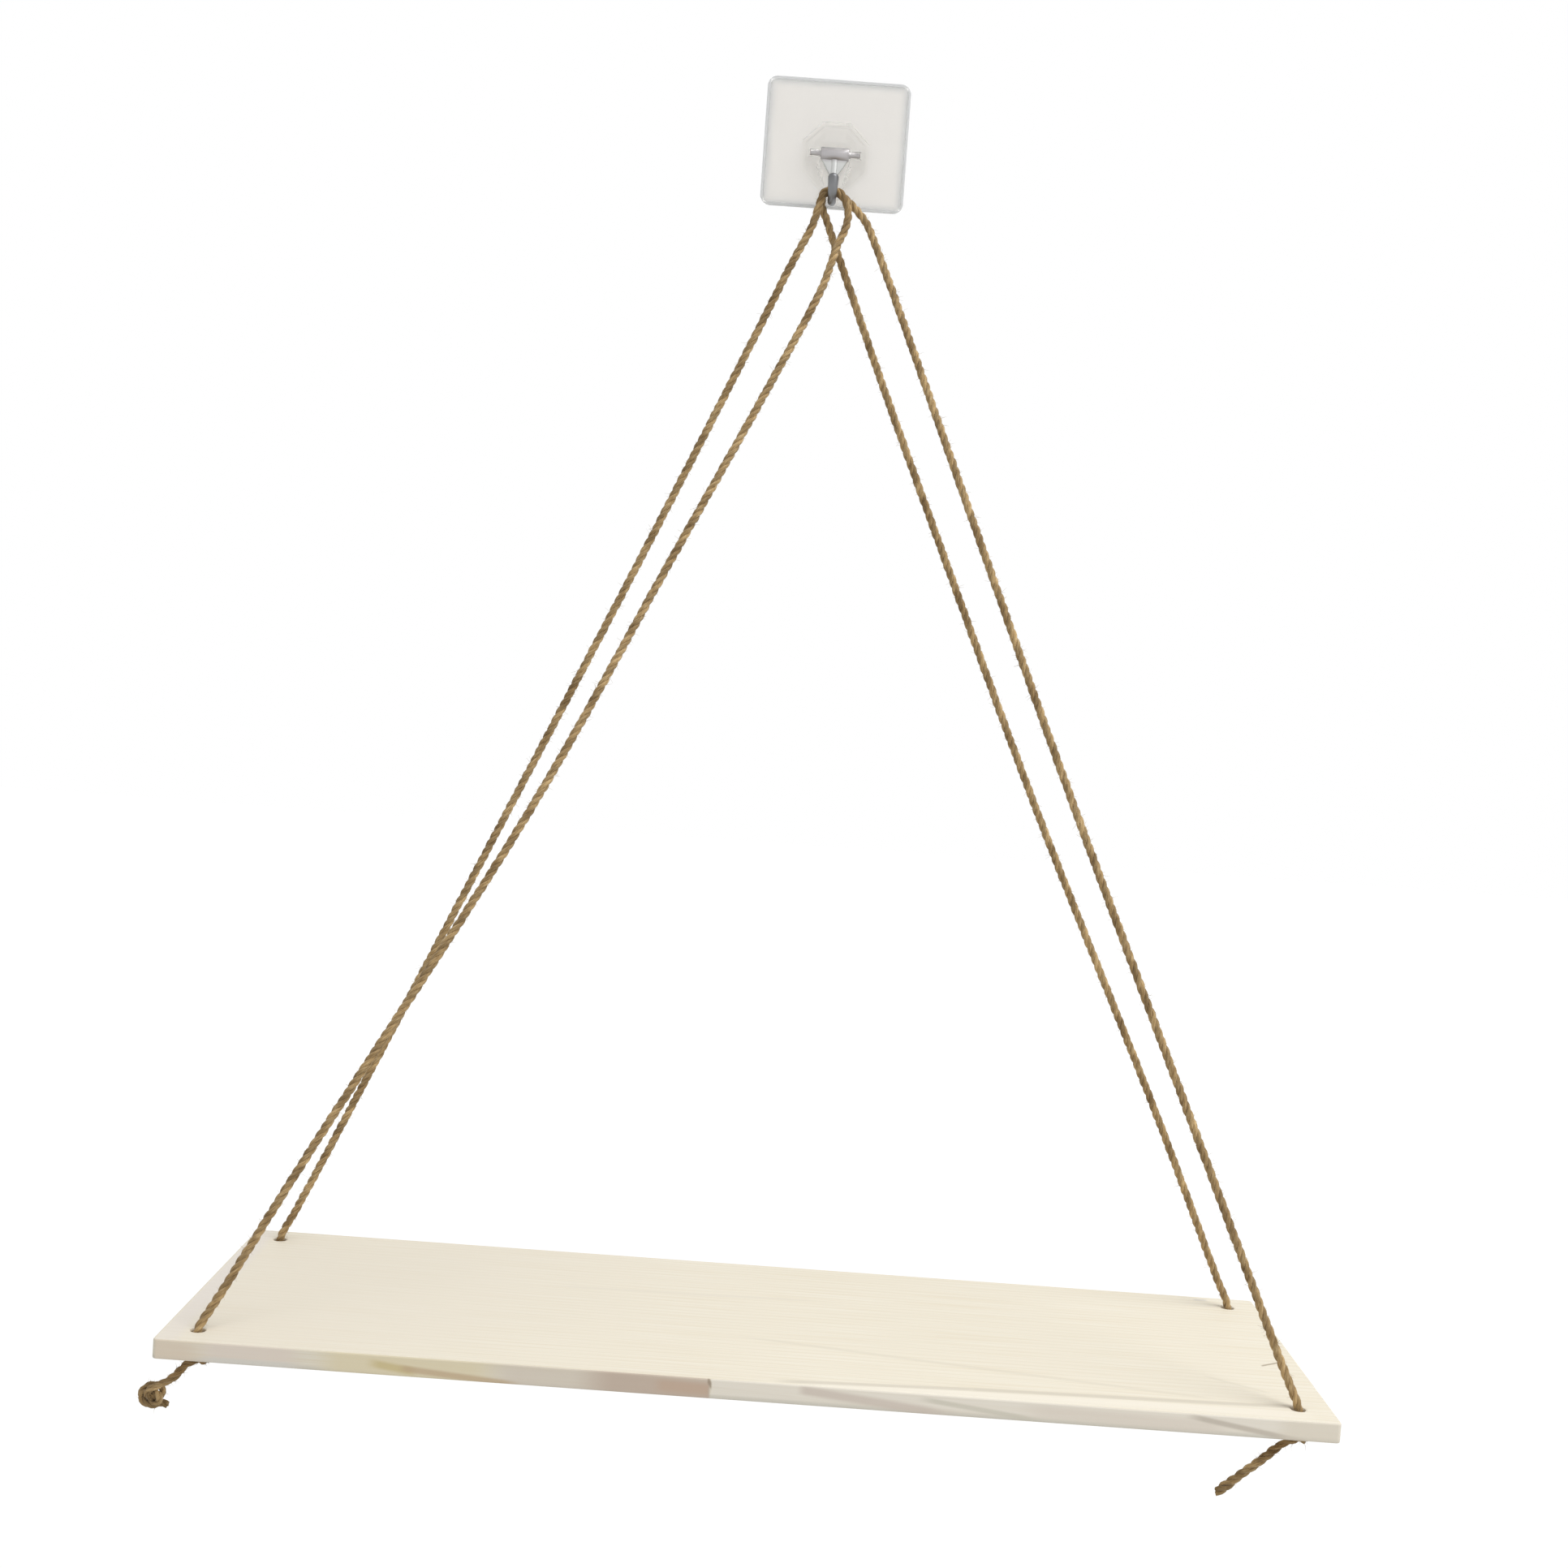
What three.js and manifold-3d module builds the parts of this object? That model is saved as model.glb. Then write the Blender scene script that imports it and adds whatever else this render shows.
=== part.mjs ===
// Hanging rope shelf: a pine board slung from two jute ropes on a hinged steel hook,
// which a clear adhesive pad holds to the wall. Millimetres, Z up.
// The origin is the centre of the adhesive's back face, in the wall plane. X runs to the
// right along the board, Y runs into the wall, so everything stands on the negative Y side.

import * as THREE from 'three';
import { mergeVertices } from 'three/addons/utils/BufferGeometryUtils.js';
import Module from 'manifold-3d';

const wasm = await Module();
wasm.setup();

// Shelf board
const boardLength = 400;
const boardDepth = 140;
const boardThickness = 7;
const boardWallGap = 1;
const boardDrop = 444.5;
const boardCornerRadius = 1.5;
const boardEdgeEasing = 0.6;
const holeDiameter = 5;
const holeInset = 12;

// Rope
const ropeDiameter = 3.2;
const ropeSides = 8;
const ropeRestGap = 0.3;
const ringsPerSpan = 2;

// Adhesive pad on the wall
const padWidth = 56;
const padHeight = 50;
const padCornerRadius = 4;
const padThickness = 1.2;
const filmThickness = 0.8;
const filmInset = 0.8;
const bondGap = 0.05;

// Moulded seat of the hook
const seatAcrossFlats = 26;
const seatFlangeThickness = 1.4;
const seatFlangeLedge = 1.2;
const seatFrontAcrossFlats = 18;
const seatFrontEasing = 0.8;
const seatDepth = 8.6;
const seatDrop = 5;
const seatFloor = 1.6;
const seatSides = 8;
const slotWidth = 11.8;
const slotFootWidth = 6.4;
const slotCornerRadius = 1.2;
const slotHeadroom = 3.6;

// Hinge pin
const pinDiameter = 2.4;
const pinFit = 0.3;
const pinGrip = 3.2;
const pinEndEasing = 0.3;
const pinSides = 20;

// Hook
const wireDiameter = 3.2;
const wireSides = 14;
const barrelDiameter = 5.2;
const headEndPlay = 0.4;
const webThickness = 2.2;
const webLength = 8;
const bendRadius = 7;
const stemLength = 12.6;
const tipLength = 2.2;
const hookSteps = 36;

// One length past any face that a tool has to clear, and how near two corners have to lie to be
// the same corner of a solid
const overrun = 5;
const weldDistance = 0.0001;

// Places that follow from the sizes above
const ropeRadius = ropeDiameter / 2;
const padFront = filmThickness + bondGap + padThickness;
const seatBack = padFront + bondGap;
const barrelReach = barrelDiameter / 2 + seatFloor + pinFit;
const pinY = -(seatBack + barrelReach);
const pinZ = -seatDrop;
const bendCentreZ = pinZ - stemLength;
const bendCentreY = pinY - bendRadius;
const saddleY = bendCentreY;
const saddleZ = bendCentreZ - bendRadius;
const boardBack = -boardWallGap;
const boardCentreY = boardBack - boardDepth / 2;
const boardTop = -boardDrop;
const boardUnderside = boardTop - boardThickness;
const holeX = boardLength / 2 - holeInset;
const frontHoleY = boardCentreY - boardDepth / 2 + holeInset;
const backHoleY = boardBack - holeInset;

// Shared helpers
const finish = (name, geometry, colour, roughness, metalness) => {
  const material = new THREE.MeshStandardMaterial({ color: colour, roughness, metalness });
  const mesh = new THREE.Mesh(geometry, material);
  mesh.name = name;
  return mesh;
};

const toSolid = (geometry) => {
  const bare = geometry.clone();
  bare.deleteAttribute('normal');
  bare.deleteAttribute('uv');
  const merged = mergeVertices(bare, weldDistance);
  return new wasm.Manifold(new wasm.Mesh({
    numProp: 3,
    vertProperties: new Float32Array(merged.attributes.position.array),
    triVerts: new Uint32Array(merged.index.array),
  }));
};

const toGeometry = (solid) => {
  const mesh = solid.getMesh();
  const geometry = new THREE.BufferGeometry();
  geometry.setAttribute('position', new THREE.BufferAttribute(mesh.vertProperties, 3));
  geometry.setIndex(new THREE.BufferAttribute(mesh.triVerts, 1));
  geometry.computeVertexNormals();
  return geometry;
};

const roundedRectangle = (width, height, radius) => {
  const x = width / 2;
  const y = height / 2;
  const shape = new THREE.Shape();
  shape.moveTo(radius - x, -y);
  shape.lineTo(x - radius, -y);
  shape.absarc(x - radius, radius - y, radius, -Math.PI / 2, 0);
  shape.lineTo(x, y - radius);
  shape.absarc(x - radius, y - radius, radius, 0, Math.PI / 2);
  shape.lineTo(radius - x, y);
  shape.absarc(radius - x, y - radius, radius, Math.PI / 2, Math.PI);
  shape.lineTo(-x, radius - y);
  shape.absarc(radius - x, radius - y, radius, Math.PI, Math.PI * 1.5);
  return shape;
};

const circle = (radius, sides) => {
  const points = [];
  for (let i = 0; i < sides; i += 1) {
    const angle = (i / sides) * Math.PI * 2;
    points.push(new THREE.Vector2(radius * Math.cos(angle), radius * Math.sin(angle)));
  }
  return new THREE.Shape(points);
};

// A flat outline drawn in X and Z, given its thickness towards the room from a depth behind it
const standUp = (geometry, back) => geometry.rotateX(Math.PI / 2).translate(0, -back, 0);

// Adhesive film: soft clear gel, a little smaller than the sheet that it backs
const adhesiveFilm = () => {
  const outline = roundedRectangle(
    padWidth - 2 * filmInset, padHeight - 2 * filmInset, padCornerRadius - filmInset,
  );
  const geometry = new THREE.ExtrudeGeometry(outline, {
    depth: filmThickness, bevelEnabled: false, curveSegments: 5,
  });
  return finish('adhesive_film', standUp(geometry, 0), 0xe8e6e1, 0.35, 0);
};

// Pad sheet: clear stamped plastic that spreads the load over the film
const padSheet = () => {
  const outline = roundedRectangle(padWidth, padHeight, padCornerRadius);
  const geometry = new THREE.ExtrudeGeometry(outline, {
    depth: padThickness, bevelEnabled: false, curveSegments: 6,
  });
  return finish('pad_sheet', standUp(geometry, filmThickness + bondGap), 0xe6e4de, 0.15, 0);
};

// Hook seat: a clear octagonal moulding welded to the sheet. Its slot takes the hook's head
// and is open at the front and at the foot, where the stem comes out.
const seatCorner = (acrossFlats) => acrossFlats / 2 / Math.cos(Math.PI / seatSides);

const seatBody = () => {
  const profile = [
    new THREE.Vector2(0, 0),
    new THREE.Vector2(seatCorner(seatAcrossFlats), 0),
    new THREE.Vector2(seatCorner(seatAcrossFlats), seatFlangeThickness),
    new THREE.Vector2(seatCorner(seatAcrossFlats) - seatFlangeLedge, seatFlangeThickness),
    new THREE.Vector2(seatCorner(seatFrontAcrossFlats), seatDepth - seatFrontEasing),
    new THREE.Vector2(seatCorner(seatFrontAcrossFlats) - seatFrontEasing, seatDepth),
    new THREE.Vector2(0, seatDepth),
  ];
  const geometry = new THREE.LatheGeometry(profile, seatSides);
  geometry.rotateY(Math.PI / seatSides);
  geometry.rotateX(Math.PI);
  geometry.translate(0, -seatBack, pinZ);
  return toSolid(geometry);
};

const slotTool = () => {
  const top = slotHeadroom;
  const foot = -(seatAcrossFlats / 2 + overrun);
  const shoulder = -barrelDiameter / 2 - pinFit;
  const shape = new THREE.Shape();
  shape.moveTo(-slotFootWidth / 2, foot);
  shape.lineTo(slotFootWidth / 2, foot);
  shape.lineTo(slotFootWidth / 2, -seatAcrossFlats / 2);
  shape.lineTo(slotWidth / 2, shoulder);
  shape.lineTo(slotWidth / 2, top - slotCornerRadius);
  shape.absarc(
    slotWidth / 2 - slotCornerRadius, top - slotCornerRadius, slotCornerRadius, 0, Math.PI / 2,
  );
  shape.lineTo(slotCornerRadius - slotWidth / 2, top);
  shape.absarc(
    slotCornerRadius - slotWidth / 2, top - slotCornerRadius, slotCornerRadius, Math.PI / 2, Math.PI,
  );
  shape.lineTo(-slotWidth / 2, shoulder);
  shape.lineTo(-slotFootWidth / 2, -seatAcrossFlats / 2);
  const geometry = new THREE.ExtrudeGeometry(shape, {
    depth: seatDepth - seatFloor + overrun, bevelEnabled: false, curveSegments: 4,
  });
  standUp(geometry, seatBack + seatFloor);
  geometry.translate(0, 0, pinZ);
  return toSolid(geometry);
};

// The bore is blind on the left and comes out on the right, where the pin goes in
const pinHalfLength = slotWidth / 2 + pinGrip;

const boreTool = (radius, from, to) => {
  const geometry = new THREE.CylinderGeometry(radius, radius, to - from, pinSides);
  geometry.rotateZ(Math.PI / 2);
  geometry.translate((from + to) / 2, pinY, pinZ);
  return toSolid(geometry);
};

const hookSeat = () => {
  const bore = boreTool(
    pinDiameter / 2 + pinFit, -pinHalfLength - pinFit, seatAcrossFlats / 2 + overrun,
  );
  const solid = seatBody().subtract(slotTool()).subtract(bore);
  return finish('hook_seat', toGeometry(solid), 0xf0efea, 0.12, 0);
};

// Hinge pin: a short steel rod through the seat's cheeks and the hook's barrel
const hingePin = () => {
  const radius = pinDiameter / 2;
  const profile = [
    new THREE.Vector2(0, -pinHalfLength),
    new THREE.Vector2(radius - pinEndEasing, -pinHalfLength),
    new THREE.Vector2(radius, pinEndEasing - pinHalfLength),
    new THREE.Vector2(radius, pinHalfLength - pinEndEasing),
    new THREE.Vector2(radius - pinEndEasing, pinHalfLength),
    new THREE.Vector2(0, pinHalfLength),
  ];
  const geometry = new THREE.LatheGeometry(profile, pinSides);
  geometry.rotateZ(-Math.PI / 2);
  geometry.translate(0, pinY, pinZ);
  return finish('hinge_pin', geometry, 0xb9bbbc, 0.3, 1);
};

// Hook: a rolled barrel on the pin, a web that narrows from it, and a wire that runs down,
// bends forward under the ropes and turns up into a short tip
class Bend extends THREE.Curve {
  getPoint(t, target = new THREE.Vector3()) {
    const angle = Math.PI * t;
    return target.set(
      0,
      bendCentreY + bendRadius * Math.cos(angle),
      bendCentreZ - bendRadius * Math.sin(angle),
    );
  }
}

const hookRoute = () => {
  const route = new THREE.CurvePath();
  const top = new THREE.Vector3(0, pinY, pinZ - barrelDiameter / 2);
  const bendStart = new THREE.Vector3(0, pinY, bendCentreZ);
  const bendEnd = new THREE.Vector3(0, bendCentreY - bendRadius, bendCentreZ);
  const tip = bendEnd.clone().add(new THREE.Vector3(0, 0, tipLength - wireDiameter / 2));
  route.add(new THREE.LineCurve3(top, bendStart));
  route.add(new Bend());
  route.add(new THREE.LineCurve3(bendEnd, tip));
  return { route, tip };
};

const hookWeb = () => {
  const headHalf = slotWidth / 2 - headEndPlay;
  const shape = new THREE.Shape();
  shape.moveTo(-headHalf, 0);
  shape.lineTo(-wireDiameter / 2, -webLength);
  shape.lineTo(wireDiameter / 2, -webLength);
  shape.lineTo(headHalf, 0);
  const geometry = new THREE.ExtrudeGeometry(shape, { depth: webThickness, bevelEnabled: false });
  standUp(geometry, -pinY - webThickness / 2);
  geometry.translate(0, 0, pinZ);
  return toSolid(geometry);
};

const hook = () => {
  const { route, tip } = hookRoute();
  const wireRadius = wireDiameter / 2;
  const wire = toSolid(new THREE.ExtrudeGeometry(circle(wireRadius, wireSides), {
    steps: hookSteps, extrudePath: route,
  }));
  const end = new THREE.SphereGeometry(wireRadius, wireSides, wireSides / 2);
  end.rotateX(Math.PI / 2);
  end.translate(tip.x, tip.y, tip.z);
  const headHalf = slotWidth / 2 - headEndPlay;
  const barrel = boreTool(barrelDiameter / 2, -headHalf, headHalf);
  const bore = boreTool(pinDiameter / 2 + pinFit, -headHalf - overrun, headHalf + overrun);
  const solid = wire.add(toSolid(end)).add(hookWeb()).add(barrel).subtract(bore);
  return finish('hook', toGeometry(solid), 0x8f9193, 0.32, 1);
};

// Stopper knot: an open overhand knot, drawn about an upright axis that the rope enters from
// above. The rope winds down beside the axis, climbs once round the outside, winds down the
// other side of the axis and leaves below. Shares are of the spacing of neighbouring turns.
const knotTurnGap = 0.5;
const knotSpacing = ropeDiameter + knotTurnGap;
const knotShares = { ring: 1.0, swing: 0.578, pinch: 0.09, rise: 0.725, tuck: 0.045 };
const knotFrom = 0.85 * Math.PI;
const knotTo = 3.15 * Math.PI;
const knotSpans = 19;
const knotTurnPerCycle = 1.5;
const knotSideShares = [0.5, 0.1, 0];
const knotLeadShares = [2.0, 0.95];
const knotExitShare = 0.95;
const knotExitHeading = Math.PI;
const knotHalfHeight = knotSpacing * (knotShares.rise - knotShares.tuck) + ropeRadius;

// Points of the knot, from the rope that comes down into it at x = y = 0 to its tail
const knotPoints = () => {
  const side = new THREE.Vector3(...knotSideShares);
  const points = knotLeadShares.map((share) => new THREE.Vector3(0, 0, share));
  for (let i = 0; i <= knotSpans; i += 1) {
    const phase = knotFrom + ((knotTo - knotFrom) * i) / knotSpans;
    const reach = knotShares.ring + knotShares.swing * Math.cos(phase)
      - knotShares.pinch * Math.cos(3 * phase);
    const turn = knotTurnPerCycle * phase;
    const height = knotShares.rise * Math.sin(phase) + knotShares.tuck * Math.sin(3 * phase);
    const point = new THREE.Vector3(reach * Math.cos(turn), reach * Math.sin(turn), height);
    points.push(point.add(side));
  }
  points.push(new THREE.Vector3(0, 2 * side.y, -knotExitShare));
  return points.map((point) => point.multiplyScalar(knotSpacing));
};

// The knot turned so that its tail leaves under a heading seen from above
const stopperKnot = (hole, heading) => {
  const centre = new THREE.Vector3(
    hole.x, hole.y, boardUnderside - ropeRestGap - knotHalfHeight,
  );
  const up = new THREE.Vector3(0, 0, 1);
  return knotPoints().map((point) => (
    point.applyAxisAngle(up, heading - knotExitHeading).add(centre)
  ));
};

const tailDirection = (tail) => new THREE.Vector3(
  Math.cos(tail.heading) * Math.cos(tail.dip),
  Math.sin(tail.heading) * Math.cos(tail.dip),
  -Math.sin(tail.dip),
);

// Tail below the knot: it springs out at a slope, and one tail ends in a second small knot
const tailPoints = (knotExit, tail) => {
  const along = tailDirection(tail);
  const start = knotExit.clone().addScaledVector(along, knotSpacing)
    .add(new THREE.Vector3(0, 0, -ropeRadius / 2));
  const points = [start, start.clone().addScaledVector(along, tail.length / 2)];
  const end = start.clone().addScaledVector(along, tail.length);
  if (!tail.endKnot) {
    return [...points, end];
  }
  const aim = new THREE.Quaternion().setFromUnitVectors(new THREE.Vector3(0, 0, -1), along);
  const middle = end.clone().addScaledVector(along, knotLeadShares[0] * knotSpacing);
  const second = knotPoints().map((point) => point.applyQuaternion(aim).add(middle));
  const last = second[second.length - 1].clone();
  const stub = last.clone().addScaledVector(along, tail.stub);
  return [...points, ...second, stub];
};

// Strands below the hook, as [right, forward, up] from the point of the wire where each rope
// lies. On each rope the outer strand stays on its own side of the hook, and the inner one
// crosses to it from the other side. The left rope's inner strand runs to the front hole, the
// right rope's to the back one. All four belly a few millimetres inwards, as the photo shows.
const saddleRise = 4.05;
const saddleOffset = 1.85;
const leftOuterStrand = [
  [-2.9, 0, 3.15], [-4.3, 0, -0.6], [-5.2, 0, -4.5], [-7.0, -0.1, -10.7], [-14.1, -0.2, -26.1],
  [-23.8, -0.3, -49.1], [-63.9, -0.8, -142.0], [-109.2, -1.4, -244.2], [-173.3, -2.2, -387.9],
];
const leftInnerStrand = [
  [3.0, 0, 3.0], [5.0, 0, 0.6], [6.4, 0.2, -2.6], [6.8, 0.6, -5.8], [5.6, 2.0, -12.0],
  [3.2, 4.4, -18.4], [-1.0, 9.3, -34.3], [-18.0, 20.0, -73.9], [-49.5, 38.7, -143.2],
  [-93.0, 64.6, -238.9], [-159.1, 98.3, -363.5],
];
const rightOuterStrand = [
  [2.9, 0.1, 3.15], [6.2, 0.3, 0.9], [9.6, 1.0, -2.2], [14.0, 2.3, -7.6], [21.5, 6.7, -24.1],
  [30.9, 13.1, -46.8], [57.9, 31.6, -113.1], [103.9, 62.8, -224.8], [149.1, 92.0, -329.5],
];
const rightInnerStrand = [
  [-3.0, 0, 3.0], [-3.7, 0, 0.2], [-3.3, 0, -2.6], [-1.9, 0, -5.8], [0.7, 0, -12.0],
  [3.3, 0, -18.4], [8.9, 0.1, -31.3], [24.5, 0.2, -67.6], [53.9, 0.4, -133.4],
  [97.5, 0.7, -229.3], [155.3, 1.0, -348.5],
];
const holeApproach = 14;

// Tails below the knots: headings are seen from above, dips are below the level
const degree = Math.PI / 180;
const tails = {
  frontLeft: { heading: 188 * degree, dip: 37 * degree, length: 5, endKnot: true, stub: 3 },
  backLeft: { heading: 205 * degree, dip: 55 * degree, length: 16, endKnot: false },
  frontRight: { heading: 183 * degree, dip: 34 * degree, length: 25, endKnot: false },
  backRight: { heading: 320 * degree, dip: 58 * degree, length: 15, endKnot: false },
};

// One rope, from its front tail over the hook to its back tail. Row is -1 for the rope that
// lies in front on the hook and 1 for the one behind it.
const ropePoints = ({ side, row, frontStrand, backStrand, frontTail, backTail }) => {
  const place = ([x, forward, up]) => new THREE.Vector3(
    x, saddleY + row * saddleOffset - forward, saddleZ + up,
  );
  const half = (strand, holeY, tail) => {
    const hole = new THREE.Vector3(side * holeX, holeY, boardTop);
    const places = strand.map(place);
    const last = places[places.length - 1];
    const reach = last.clone().sub(hole).normalize().multiplyScalar(holeApproach);
    const knot = stopperKnot(hole, tail.heading);
    return [
      ...places, hole.clone().add(reach), hole, ...knot, ...tailPoints(knot[knot.length - 1], tail),
    ];
  };
  return [
    ...half(frontStrand, frontHoleY, frontTail).reverse(),
    place([0, 0, saddleRise]),
    ...half(backStrand, backHoleY, backTail),
  ];
};

// Rings follow the points and not the length, so they lie close in the knots and far apart
// on the straight strands
class KnottedRoute extends THREE.CatmullRomCurve3 {
  getUtoTmapping(u) {
    return u;
  }
}

const rope = (name, points) => {
  const route = new KnottedRoute(points, false, 'centripetal');
  const geometry = new THREE.ExtrudeGeometry(circle(ropeRadius, ropeSides), {
    steps: (points.length - 1) * ringsPerSpan, extrudePath: route,
  });
  return { mesh: finish(name, geometry, 0xa88a62, 0.9, 0), route, spans: points.length - 1 };
};

// Least gap between the turns of a rope, or between two ropes, measured on points
const samplesPerSpan = 6;
const neighbourLength = 2.1 * ropeDiameter;

const samples = ({ route, spans }) => {
  const list = [];
  let run = 0;
  for (let i = 0; i <= spans * samplesPerSpan; i += 1) {
    const point = route.getPoint(i / (spans * samplesPerSpan));
    run += i > 0 ? point.distanceTo(list[i - 1].point) : 0;
    list.push({ point, run });
  }
  return list;
};

const leastGap = (first, second, same) => {
  let least = Infinity;
  first.forEach((a) => second.forEach((b) => {
    if (!same || b.run - a.run > neighbourLength) {
      least = Math.min(least, a.point.distanceTo(b.point) - ropeDiameter);
    }
  }));
  return least;
};

// Shelf board: one pine plank with eased edges and four drilled holes
const shelfBoard = () => {
  const outline = roundedRectangle(boardLength, boardDepth, boardCornerRadius);
  [-1, 1].forEach((x) => [frontHoleY, backHoleY].forEach((y) => {
    const hole = new THREE.Path();
    hole.absarc(x * holeX, y - boardCentreY, holeDiameter / 2, 0, Math.PI * 2, true);
    outline.holes.push(hole);
  }));
  const geometry = new THREE.ExtrudeGeometry(outline, {
    depth: boardThickness - 2 * boardEdgeEasing,
    bevelThickness: boardEdgeEasing,
    bevelSize: boardEdgeEasing,
    bevelOffset: -boardEdgeEasing,
    bevelSegments: 2,
    curveSegments: 9,
  });
  geometry.translate(0, boardCentreY, boardUnderside + boardEdgeEasing);
  return finish('shelf_board', geometry, 0xeadfc8, 0.7, 0);
};

const leftRope = rope('left_rope', ropePoints({
  side: -1,
  row: -1,
  frontStrand: leftInnerStrand,
  backStrand: leftOuterStrand,
  frontTail: tails.frontLeft,
  backTail: tails.backLeft,
}));
const rightRope = rope('right_rope', ropePoints({
  side: 1,
  row: 1,
  frontStrand: rightOuterStrand,
  backStrand: rightInnerStrand,
  frontTail: tails.frontRight,
  backTail: tails.backRight,
}));
const leftSamples = samples(leftRope);
const rightSamples = samples(rightRope);
console.log('left rope, least gap to itself', leastGap(leftSamples, leftSamples, true).toFixed(2));
console.log('right rope, least gap to itself', leastGap(rightSamples, rightSamples, true).toFixed(2));
console.log('least gap between the ropes', leastGap(leftSamples, rightSamples, false).toFixed(2));

const wallPlate = new THREE.Group();
wallPlate.add(adhesiveFilm(), padSheet(), hookSeat(), hingePin());

const hookGroup = new THREE.Group();
hookGroup.add(hook());

const shelf = new THREE.Group();
shelf.add(leftRope.mesh, rightRope.mesh, shelfBoard());

const hangingShelf = new THREE.Group();
hangingShelf.add(wallPlate, hookGroup, shelf);

export default hangingShelf;
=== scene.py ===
import bmesh
import bpy
import math
import random
from mathutils import Matrix, Vector


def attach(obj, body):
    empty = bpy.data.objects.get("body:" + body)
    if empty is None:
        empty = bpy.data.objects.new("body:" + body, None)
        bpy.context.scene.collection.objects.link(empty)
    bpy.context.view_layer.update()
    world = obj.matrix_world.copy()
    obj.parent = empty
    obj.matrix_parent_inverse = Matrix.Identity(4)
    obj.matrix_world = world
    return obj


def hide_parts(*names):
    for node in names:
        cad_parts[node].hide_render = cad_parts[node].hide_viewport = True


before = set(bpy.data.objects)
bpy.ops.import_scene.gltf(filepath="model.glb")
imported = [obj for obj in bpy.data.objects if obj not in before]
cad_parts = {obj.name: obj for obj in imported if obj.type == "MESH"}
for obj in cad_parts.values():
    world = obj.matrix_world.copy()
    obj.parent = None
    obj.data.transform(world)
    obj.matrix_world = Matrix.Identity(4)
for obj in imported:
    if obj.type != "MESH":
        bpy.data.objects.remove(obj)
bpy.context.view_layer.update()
MM = 0.001


# Camera. It looks at the shelf from the front at about the height of its middle, a little
# down, and is held a few degrees out of level, as in the photograph.
camera_data = bpy.data.cameras.new("camera")
camera_data.sensor_width = 36
camera_data.lens = 48.39
camera_data.clip_start = 0.01
camera = bpy.data.objects.new("camera", camera_data)
bpy.context.scene.collection.objects.link(camera)
bpy.context.scene.camera = camera
camera_place = Vector((-3.4, -836.4, -208.5)) * MM
camera_yaw, camera_dip, camera_roll = (math.radians(a) for a in (0.09, 2.90, 4.14))
ahead = Vector((
    math.sin(camera_yaw) * math.cos(camera_dip),
    math.cos(camera_yaw) * math.cos(camera_dip),
    -math.sin(camera_dip),
))
level_right = Vector((math.cos(camera_yaw), -math.sin(camera_yaw), 0))
level_up = level_right.cross(ahead)
right = level_right * math.cos(camera_roll) + level_up * math.sin(camera_roll)
up = level_up * math.cos(camera_roll) - level_right * math.sin(camera_roll)
turn = Matrix((right, up, -ahead)).transposed()
camera.matrix_world = Matrix.Translation(camera_place) @ turn.to_4x4()


# Ropes. Each is one length of three-ply jute twine, 3.2 mm thick. It lies over the hook, one
# strand runs to a front corner of the board and one to a back corner, each goes through its
# hole, and an overhand knot under the board holds it. The cut tails stay.
rope_radius, rope_run = 1.6, 1140
ply_radius, ply_offset, ply_tones = 0.81, 0.79, (-0.16, 0.0, 0.16)
ply_swell, swell_run, swell_shift, ply_unevenness = 0.06, 6.1, 2.1, 0.03
lay_length, lay_drift, shortest_drift, longest_drift = 10.5, 0.5, 60, 190
ring_step, cut_length, cut_spread = 0.95, 9, 0.4
hair_count, hair_radius, hair_root, shortest_hair, longest_hair = 1500, 0.045, 1.3, 0.6, 2.4
bare_end, rope_seed = 4, 7
board_top, underside = -444.5, -451.5
saddle_y, saddle_z, saddle_offset, saddle_rise = -13.6, -24.6, 1.85, 4.05
hole_x, front_hole_y, back_hole_y, hole_approach = 188, -129, -13, 14
degree = math.pi / 180

# A knot squeezes its rope within knot_reach of its centre. Its places are in shares of its size.
# Its span is where its turns start and end, in half circles, and how many places they have.
knot_size, knot_squash, knot_pinch, knot_reach, knot_fade = 2.5, 0.65, 0.16, 9, 3
board_knot_span, end_knot_span = (0.85, 3.15, 20), (0.5, 3.72, 27)
knot_way_in = [(0, 0, 2.0), (0, 0, 0.95)]
knot_way_out = [(-0.25, 0.2, -0.95), (-1.25, 0.1, -1.55)]
knot_aside, knot_half_height = (0.5, 0.1, 0), 0.7
end_knot_lead, end_knot_width, end_knot_height, stub_length = 2.0, 1.25, 0.85, 3.2
tail_shares = (0.35, 0.7, 1)

# The strands' places are x, the way forward from the rope's row on the hook, and the rise from
# the middle of the hook's wire at its lowest.
left_outer = [
    (-2.9, 0, 3.15), (-4.3, 0, -0.6), (-5.2, 0, -4.5), (-7.0, -0.1, -10.7), (-14.1, -0.2, -26.1),
    (-23.8, -0.3, -49.1), (-63.9, -0.8, -142.0), (-109.2, -1.4, -244.2), (-173.3, -2.2, -387.9),
]
left_inner = [
    (3.0, 0, 3.0), (5.0, 0, 0.6), (6.4, 0.2, -2.6), (6.8, 0.6, -5.8), (5.6, 2.0, -12.0),
    (3.2, 4.4, -18.4), (-1.0, 9.3, -34.3), (-18.0, 20.0, -73.9), (-49.5, 38.7, -143.2),
    (-93.0, 64.6, -238.9), (-159.1, 98.3, -363.5),
]
right_outer = [
    (2.9, 0.1, 3.15), (6.2, 0.3, 0.9), (9.6, 1.0, -2.2), (14.0, 2.3, -7.6), (21.5, 6.7, -24.1),
    (30.9, 13.1, -46.8), (57.9, 31.6, -113.1), (103.9, 62.8, -224.8), (149.1, 92.0, -329.5),
]
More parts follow.
